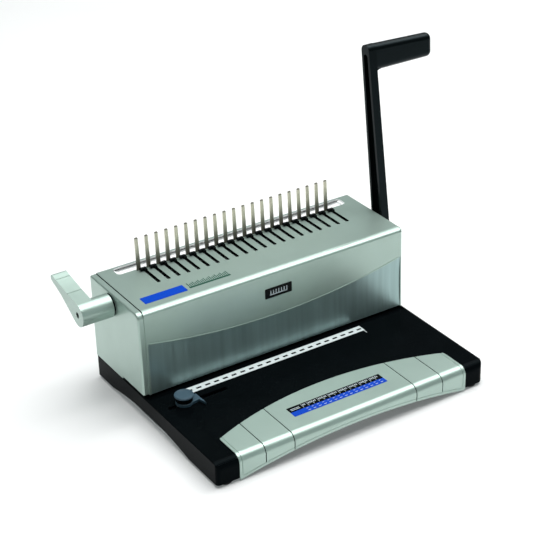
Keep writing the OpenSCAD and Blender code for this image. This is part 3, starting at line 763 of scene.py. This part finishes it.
class BINDING_OT_labels(Builder):
    """Builds the printed labels, the scale strip and their marks"""
    bl_idname = "binding.labels"
    bl_label = "Labels and Scale"

    def build(self, sizes):
        self.chart()
        self.scale(sizes.mark_pitch / MM)
        self.cover_marks()
        self.badge()

    def film(self, name, low, high, slot, *replaced, corner=0.6):
        """A thin printed label with rounded corners."""
        piece = block(name, low, high)
        round_edges(piece, [(corner, runs("Z"))], 4)
        return give(soften(piece, 0.06, 1), "machine", slot, *replaced)

    def marks(self, name, boxes, slot, material=None):
        """Printed marks, joined into one piece."""
        piece = join([block("mark", low, high) for low, high in boxes])
        piece.name = name
        return give(soften(piece, 0.02, 1), "machine", slot, material=material)

    def chart(self):
        """The size chart: a black and a blue band with rows of plain marks."""
        low, high = box_mm("size_chart_label")
        split = low.y + 0.48 * (high.y - low.y)
        self.film("chart_blue", low, (high.x, split, high.z), "label_blue", "size_chart_label")
        self.film("chart_black", (low.x, split, low.z), high, "badge_black")

        def mark(x0, x1, y0, y1):
            """Corners of a mark that stands just proud of the chart."""
            return (x0, y0, high.z - 0.1), (x1, y1, high.z + 0.04)

        cells, first = 15, low.x + 20
        step = (high.x - first - 2) / cells
        boxes = []
        for k in range(cells):
            x = first + k * step
            boxes.append(mark(x, x + 0.5, split + 1, high.y - 1))
            for part in range(2 + k % 2):
                left = x + 1.8 + part * 2.1
                boxes.append(mark(left, left + 1.1, split + 5, high.y - 2.2))
        boxes += [mark(low.x + 3, low.x + 16, y, y + 0.9) for y in (split + 3, split + 5.4)]
        self.marks("chart_marks", boxes, "label_white", "ink_pale")
        starts = [first + k * step + 1.5 for k in range(cells)]
        dashes = [mark(x, x + 3.7, low.y + 2.6, low.y + 3.5) for x in starts]
        dashes += [mark(x, x + 2.4, split - 2.6, split - 1.8) for x in starts]
        self.marks("chart_dashes", dashes, "label_white", "ink_pale")

    def scale(self, pitch):
        """The white strip with its short tail, and the dark marks along it."""
        low, high = box_mm("scale_strip")
        strip = block("scale_film", low, high)
        tail = block("tail", (117.6, low.y - 6.3, low.z), (118.4, low.y - 0.02, low.z + 0.15))
        give(soften(join([strip, tail]), 0.06, 1), "machine", "label_white", "scale_strip")
        last, half = 113.55, 3.5
        boxes = [((x - half, 4.4, high.z - 0.1), (x + half, 7.6, high.z + 0.03))
                 for x in (last - k * pitch for k in range(RINGS))]
        self.marks("scale_marks", boxes, "badge_black")

    def cover_marks(self):
        """The blue label on the cover, and a green rule with ticks of three heights."""
        low, high = box_mm("blue_label")
        self.film("cover_label", low, high, "label_blue", "blue_label", corner=1)
        low, high = box_mm("tick_label")
        boxes = [((low.x, low.y, low.z - 0.1), high)]
        count, foot = 22, high.y + 1
        for k in range(count):
            x = low.x + 1 + (high.x - low.x - 3) * k / (count - 1)
            tall = (9, 6, 7.5)[k % 3]
            boxes.append(((x, foot, low.z - 0.1), (x + 1.2, foot + tall, low.z + 0.12)))
        self.marks("cover_ticks", boxes, "label_green")
        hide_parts("tick_label")

    def badge(self):
        """A black plate with a comb-shaped mark of plain bars."""
        z, middle = 120.4, 1.65
        tilt = math.atan(LEAN / (EAVES_Z - DECK_Z))
        backing = block("badge_plate", (-20, -0.5, -7), (20, 0.3, 7))
        round_edges(backing, [(1, runs("Y"))], 4)
        front, spine_z = -0.62, -2
        bars = [block("bar", (-13, front, -3.4), (13, 0, spine_z))]
        for k in range(7):
            x = -12.4 + k * 4
            bars.append(block("bar", (x, front, spine_z + 0.01), (x + 1.5, 0, 3.4)))
        bars = join(bars)
        bars.name = "badge_bars"
        for piece, slot, ink in ((backing, "badge_black", None),
                                 (bars, "label_white", "ink_pale")):
            soften(piece, 0.05, 1)
            piece.rotation_euler = (-tilt, 0, 0)
            piece.location = Vector((middle, face_at(z) - 0.02, z)) * MM
            settled(piece.name)
            give(piece, "machine", slot, material=ink)
        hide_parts("front_badge")


class BINDING_OT_edge_guide(Builder):
    """Builds the edge guide's foot with its pointer, and the clamp knob"""
    bl_idname = "binding.edge_guide"
    bl_label = "Edge Guide"

    def build(self, sizes):
        low, high = box_mm("guide_knob")
        x, y = (low.x + high.x) / 2, (low.y + high.y) / 2
        wide, top = (high.x - low.x) / 2, high.z
        bore, foot_z, foot_top = 2.1, 33.8, 37.8
        foot = lathe("guide_foot", [(bore, foot_z), (11, foot_z), (11, foot_top - 0.6),
                                    (10.4, foot_top), (bore, foot_top)], (x, y, 0))
        arrow = plate("guide_arrow", [(x + 2, y + 6.5), (-143, -8), (-142.5, -32.5),
                                      (-146, -21), (-156.5, -23), (x, y - 7)], "Z",
                      foot_z + 0.05, foot_top - 0.6)
        combine(foot, "UNION", arrow)
        give(soften(foot, 0.4), "edge_guide", "slate_plastic", "guide_pointer")
        bore, grip_z, grip_top, grip = 2.05, 38.1, 44.1, 10.8
        knob = lathe("knob_grip", [(bore, grip_z), (grip - 0.5, grip_z), (grip, grip_z + 0.5),
                                   (grip, grip_top), (bore, grip_top)], (x, y, 0))
        ribs = []
        count = 20
        for k in range(count):
            turn = 2 * math.pi * k / count
            spot = (x + 11.3 * math.cos(turn), y + 11.3 * math.sin(turn))
            ribs.append(rod("rib", 1.1, (*spot, 37), (*spot, 45), 16))
        cut(knob, join(ribs))
        dish = top - 0.3
        disc = lathe("knob_disc", [(0.01, grip_top), (wide - 0.8, grip_top), (wide, grip_top + 0.7),
                                   (wide, top - 0.9), (wide - 0.9, top), (wide - 3, top),
                                   (wide - 3.4, dish), (0.01, dish)], (x, y, 0))
        # The grip is black ABS under the slate disc; its darkness is partly its own colour and
        # partly painted shade under the disc
        give(soften(knob, 0.2), "clamp_knob", "black_abs")
        give(soften(disc, 0.15), "clamp_knob", "slate_plastic", "guide_knob")


class BINDING_OT_comb_row(Builder):
    """Builds the tines, the hooks and the trough behind them"""
    bl_idname = "binding.comb_row"
    bl_label = "Comb Row"

    def build(self, sizes):
        half, neck, shoulder, tip = TINE_HALF, 14, 56.8, 58.4
        tine = plate("tine", [(-half, 0), (half, 0), (half, neck), (2.2, shoulder), (1.6, tip),
                              (-1.6, tip), (-2.2, shoulder), (-half, neck)], "Y", -0.9, 0.9)
        soften(tine, 0.12)
        tine.rotation_euler = (-math.radians(2.6), 0, 0)
        tine.location = Vector((0, 125.2, 136)) * MM
        settled("tine")
        self.repeat(tine, "comb_tine_row", "machine", "tine_steel", "comb_tines")
        right = 7.48
        post = block("post", (4.18, 115.6, 147.1), (right, 121.8, 153.4))
        head = block("head", (-1.2, 118.2, 150.6), (right, 122.4, 154.2))
        round_edges(head, [(1.2, runs("Y", lambda m: m.x < 0))], 4)
        hook = soften(combine(post, "UNION", head), 0.25)
        self.repeat(hook, "comb_hook_row", "hook_slide", "black_hooks", "comb_hooks")
        self.trough()

    def repeat(self, piece, name, body, slot, node_name):
        """Copies a piece to every comb finger and joins the copies."""
        copies = []
        for x in ring_xs():
            copy = piece.copy()
            copy.data = piece.data.copy()
            bpy.context.scene.collection.objects.link(copy)
            copy.data.transform(Matrix.Translation((x * MM, 0, 0)))
            copies.append(copy)
        bpy.data.objects.remove(piece)
        row = join(copies)
        row.name = row.data.name = name
        give(row, body, slot, node_name)

    def trough(self):
        """The open trough that a plastic comb lies in."""
        low, high = box_mm("comb_channel")
        end = 4.4
        trough = block("comb_trough", low, high)
        inside = block("inside", (low.x + end, low.y + 0.8, low.z + 1.4),
                       (high.x - end, high.y - 0.4, 170))
        round_edges(inside, [(2.5, runs("X", lambda m: m.z < 150)), (4, runs("Z"))])
        # The trough's near-white colour is a painted reflection
        give(soften(cut(trough, inside), 0.3), "machine", "channel_steel", "comb_channel")


class BINDING_OT_crank(Builder):
    """Builds the crank that opens the comb, and its screw"""
    bl_idname = "binding.crank"
    bl_label = "Crank"

    def build(self, sizes):
        low, high = box_mm("crank_lever")
        radius, blade, sink = 15.5, 20, 4
        outline = chain_outline([(*OPENER_SHAFT, radius), (139, 146.3, 6.2),
                                 (162.5, 153.4, 4.6)], 24)
        crank = plate("crank_blade", outline, "X", low.x, low.x + blade)
        round_edges(crank, [(26, runs("X", lambda m: m.y > 137 and m.y < 141))], 8)

        def bar(name, bar_radius, start, end, sides=40):
            """A round bar on the opener shaft's axis, between two X."""
            return rod(name, bar_radius, (start, *OPENER_SHAFT), (end, *OPENER_SHAFT), sides)

        combine(crank, "UNION", bar("hub", radius, low.x + 0.6, high.x, 96))
        cut(crank, bar("sink", sink, low.x - 1, low.x + sink),
            bar("bore", 4, high.x - 26, high.x + 2))
        for y, z in ((121.5, 149.2), (152.5, 155.4)):
            cut(crank, block("line", (low.x - 1, y - 0.35, z - 0.9),
                             (low.x + blade + 1, y + 0.35, z + 9)))
        soften(crank, 0.8, 3)
        give(crank, "opener", "silver_paint", "crank_lever")
        screw = bar("crank_bolt", 3.9, low.x + 1, low.x + sink)
        cut(screw, bar("hex", 2, low.x, low.x + 2.6, 6))
        give(soften(screw, 0.25), "opener", "black_screw", "crank_screw")


class BINDING_OT_handle(Builder):
    """Builds the punch handle, its washer and its screw"""
    bl_idname = "binding.handle"
    bl_label = "Punch Handle"

    def build(self, sizes):
        low, high = box_mm("handle_arm")
        x0, thick = low.x, 11.5
        pivot, top, top_radius = Vector(PUNCH_SHAFT), Vector((117, 366.5)), 8.2
        tip_x, droop, taper = high.x - 0.6, 2.4, 0.042

        def along(share):
            """The point at this share of the way up the arm."""
            return pivot + (top - pivot) * share

        arm = plate("handle_moulding", chain_outline([(*pivot, 12.5), (*top, top_radius)], 24),
                    "X", x0, x0 + thick)
        grip = plate("grip", chain_outline([(top.x - 1.9, top.y - 15.5, 8),
                                            (*top, top_radius)], 20), "X", x0 + 1, tip_x)
        round_edges(grip, [(7, lambda m, way: near(m.x, tip_x) and abs(way.x) < 0.5)], 8)
        # The grip is deeper at the arm than at its tip
        for vertex in grip.data.vertices:
            if vertex.co.z < (top.y - 10) * MM:
                vertex.co.z -= taper * (high.x * MM - vertex.co.x)
        edit(grip)
        bpy.ops.transform.rotate(value=math.radians(-droop), orient_axis="Y",
                                 center_override=Vector((x0 + 1, *top)) * MM)
        fresh()
        web = plate("web", [(top.x - 6.5, top.y - 16), (top.x + 1.5, top.y - 16),
                            (top.x - 2, top.y - 37), (top.x - 9.8, top.y - 37)],
                    "X", x0 + thick - 1, x0 + thick + 8)
        bend_x, bend_z = x0 + thick + 8, top.y - 34.4
        cut(web, rod("fillet", 8.6, (bend_x, top.x - 30, bend_z), (bend_x, top.x + 30, bend_z)))
        combine(arm, "UNION", grip, web)
        channel = plate("channel", chain_outline([(*along(0.12), 8.4), (*along(0.968), 4.3)],
                                                 16), "X", x0 - 1, x0 + 5.5)

        def bar(name, radius, start, end, sides=64):
            """A round bar on the handle's pivot axis, between two X."""
            return rod(name, radius, (start, *pivot), (end, *pivot), sides)

        cut(arm, channel, bar("shaft_hole", 6, x0 - 2, x0 + thick - 3),
            bar("screw_hole", 2.5, x0 - 2, x0 + thick + 2))
        soften(arm, 1.3, 4)
        give(arm, "punch_handle", "handle_plastic", "handle_arm")
        low, high = box_mm("handle_washer")
        washer = cut(bar("pivot_washer", 9, low.x, high.x),
                     bar("hole", 2.5, low.x - 1, high.x + 1, 32))
        give(soften(washer, 0.25), "punch_handle", "zinc_plate", "handle_washer")
        low, high = box_mm("handle_screw")
        screw = bar("pivot_screw", 5, high.x - 4, high.x, 48)
        cut(screw, bar("hex", 2.6, high.x - 2.2, high.x + 1, 6))
        give(soften(screw, 0.4), "punch_handle", "black_screw", "handle_screw")


class BINDING_OT_feet_and_tray(Builder):
    """Builds the rubber feet and the tray that catches the punched chips"""
    bl_idname = "binding.feet_and_tray"
    bl_label = "Feet and Chip Tray"

    def build(self, sizes):
        low, high = box_mm("rubber_feet")
        radius, foot_top = 9, high.z - 0.1
        corners = [(x, y) for x in (low.x + radius, high.x - radius)
                   for y in (low.y + radius, high.y - radius)]
        feet = [lathe("foot", [(0.01, 0), (6.5, 0), (6.8, 0.5), (7.4, 0.5), (8, 0), (8.4, 0.4),
                               (radius, foot_top), (0.01, foot_top)], (x, y, 0), 48)
                for x, y in corners]
        feet = join(feet)
        feet.name = "foot_row"
        give(soften(feet, 0.2), "machine", "rubber", "rubber_feet")
        low, high = box_mm("chip_tray")
        wall, end, bottom = 2, high.x - 3, 6.8
        tray = block("tray_body", (low.x, 58.6, bottom), (end + 0.2, 105.4, 27.5))
        round_edges(tray, [(3, runs("Z", lambda m: m.x < 0))], 4)
        cut(tray, block("inside", (low.x + wall, 58.6 + wall, bottom + wall),
                        (end - wall, 105.4 - wall, 40)))
        front = block("tray_front", (end, 58.4, bottom), (high.x, 105.6, 29.2))
        pull = rod("pull", 9, (high.x - 1.6, 82, 29.4), (high.x + 3, 82, 29.4))
        combine(tray, "UNION", cut(front, pull))
        cut(tray, side_arch(188, 210))
        give(soften(tray, 0.4), "tray", "black_abs", "chip_tray")


class BINDING_OT_inner_parts(Builder):
    """Gives the CAD pieces that stay as they are their materials"""
    bl_idname = "binding.inner_parts"
    bl_label = "Inner Parts"

    def build(self, sizes):
        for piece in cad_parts.values():
            if not piece.hide_render:
                piece.data.materials.clear()
                piece.data.materials.append(MATERIALS[NODE_FINISH[piece.name]])


NODE_FINISH = {
    "bottom_plate": "zinc_plate", "bottom_screws": "zinc_plate", "guide_slider": "black_abs",
    "guide_clamp_screw": "zinc_plate", "lower_die_plate": "tool_steel",
    "punch_guide_plate": "tool_steel", "paper_back_stop": "zinc_plate",
    "left_frame_plate": "zinc_plate", "right_frame_plate": "zinc_plate",
    "tie_rods": "zinc_plate", "tie_rod_nuts": "zinc_plate", "punch_shaft": "tool_steel",
    "punch_cams": "tool_steel", "punch_shaft_bushes": "bronze", "bar_guide_rods": "tool_steel",
    "punch_bar": "tool_steel", "punch_pins": "tool_steel", "pin_clamp_screws": "zinc_plate",
    "return_spring": "spring_steel", "spring_collar": "tool_steel", "opener_shaft": "tool_steel",
    # The hook carriage is black oxide so that the slots over it read black: painted shade
    "opener_pinions": "gear_plastic", "opener_bushes": "bronze", "hook_carriage": "black_hooks",
    "opener_racks": "gear_plastic", "carriage_rails": "zinc_plate", "tine_bar": "zinc_plate",
    "end_cap_bush": "handle_plastic",
}


class BINDING_OT_stage(bpy.types.Operator):
    """Sets up the floor, the soft lights and the camera"""
    bl_idname = "binding.stage"
    bl_label = "Stage"

    def execute(self, context):
        scene = context.scene
        scene.view_settings.view_transform = "Standard"
        fresh()
        bpy.ops.mesh.primitive_plane_add(size=40)
        floor = settled("studio_floor")
        paper = bpy.data.materials.new("White paper floor")
        paper.use_nodes = True
        shader = paper.node_tree.nodes["Principled BSDF"]
        shader.inputs["Base Color"].default_value = (*linear("E5E5E5"), 1)
        shader.inputs["Roughness"].default_value = 0.9
        shader.inputs["Specular IOR Level"].default_value = 0.1
        shader.inputs["Emission Color"].default_value = (*linear("FAFFFE"), 1)
        shader.inputs["Emission Strength"].default_value = 0.14
        floor.data.materials.append(paper)
        world = bpy.data.worlds.new("Studio")
        world.use_nodes = True
        glow = world.node_tree.nodes["Background"]
        glow.inputs["Color"].default_value = (*linear("ECFFFF"), 1)
        glow.inputs["Strength"].default_value = 0.13
        scene.world = world
        for name, spot, target, reach, power, tint in LIGHTS:
            lamp = bpy.data.lights.new(name, "AREA")
            lamp.shape = "RECTANGLE"
            lamp.size, lamp.size_y = reach
            lamp.energy = power
            lamp.color = linear(tint)
            holder = bpy.data.objects.new(name, lamp)
            holder.location = spot
            way = Vector(target) - Vector(spot)
            holder.rotation_euler = way.to_track_quat("-Z", "Y").to_euler()
            scene.collection.objects.link(holder)
        scene.camera = self.camera(scene, azimuth=-32.372, elevation=28.888, roll=-1.396)
        return {"FINISHED"}

    def camera(self, scene, azimuth, elevation, roll):
        """A camera that looks down at the machine from its front left, angles in degrees."""
        lens = bpy.data.cameras.new("Camera")
        lens.lens, lens.sensor_width = 102.59, 36
        lens.clip_start, lens.clip_end = 0.01, 100
        camera = bpy.data.objects.new("Camera", lens)
        camera.location = (-0.92309, -1.42698, 1.09213)
        aim = Euler((math.radians(90 - elevation), 0, math.radians(azimuth)), "XYZ").to_matrix()
        turn = Euler((0, 0, math.radians(roll))).to_matrix()
        camera.rotation_euler = (aim @ turn).to_euler()
        scene.collection.objects.link(camera)
        return camera


# Name, place, point it faces, size in metres, watts, colour
LIGHTS = (
    ("Softbox", (0.8, 0.3, 2.4), (0.8, 0.3, 0), (4.0, 3.2), 100, "FFFFFF"),
    ("Strip", (0.7, 0.0, 2.3), (0.7, 0.0, 0), (2.8, 0.4), 20, "FFFFFF"),
    ("Front fill", (0.6, -2.4, 1.0), (0, 0, 0.1), (1.6, 0.8), 1.5, "DAFFFF"),
)


# ---------- panel and registration ----------

BUILDERS = (
    BINDING_OT_cover, BINDING_OT_end_cap, BINDING_OT_rear_cover, BINDING_OT_base,
    BINDING_OT_front_panel, BINDING_OT_labels, BINDING_OT_edge_guide, BINDING_OT_comb_row,
    BINDING_OT_crank, BINDING_OT_handle, BINDING_OT_feet_and_tray, BINDING_OT_inner_parts,
    BINDING_OT_stage,
)


class BINDING_PT_panel(bpy.types.Panel):
    """Lists the operators and the properties they read"""
    bl_idname = "BINDING_PT_panel"
    bl_label = "Comb Binding Machine"
    bl_space_type = "VIEW_3D"
    bl_region_type = "UI"
    bl_category = "Binding"

    def draw(self, context):
        column = self.layout.column()
        for group in (context.scene.binding_sizes, context.scene.binding_colours):
            for name in group.__annotations__:
                column.prop(group, name)
        for builder in BUILDERS:
            column.operator(builder.bl_idname)


CLASSES = (BindingSizes, BindingColours, *BUILDERS, BINDING_PT_panel)


def register():
    for cls in CLASSES:
        bpy.utils.register_class(cls)
    bpy.types.Scene.binding_sizes = PointerProperty(type=BindingSizes)
    bpy.types.Scene.binding_colours = PointerProperty(type=BindingColours)


def unregister():
    del bpy.types.Scene.binding_colours
    del bpy.types.Scene.binding_sizes
    for cls in reversed(CLASSES):
        bpy.utils.unregister_class(cls)


def main():
    register()
    for builder in BUILDERS:
        group, name = builder.bl_idname.split(".")
        if getattr(getattr(bpy.ops, group), name)() != {"FINISHED"}:
            raise RuntimeError(builder.bl_label + " wasn't built")


if __name__ == "__main__":
    main()
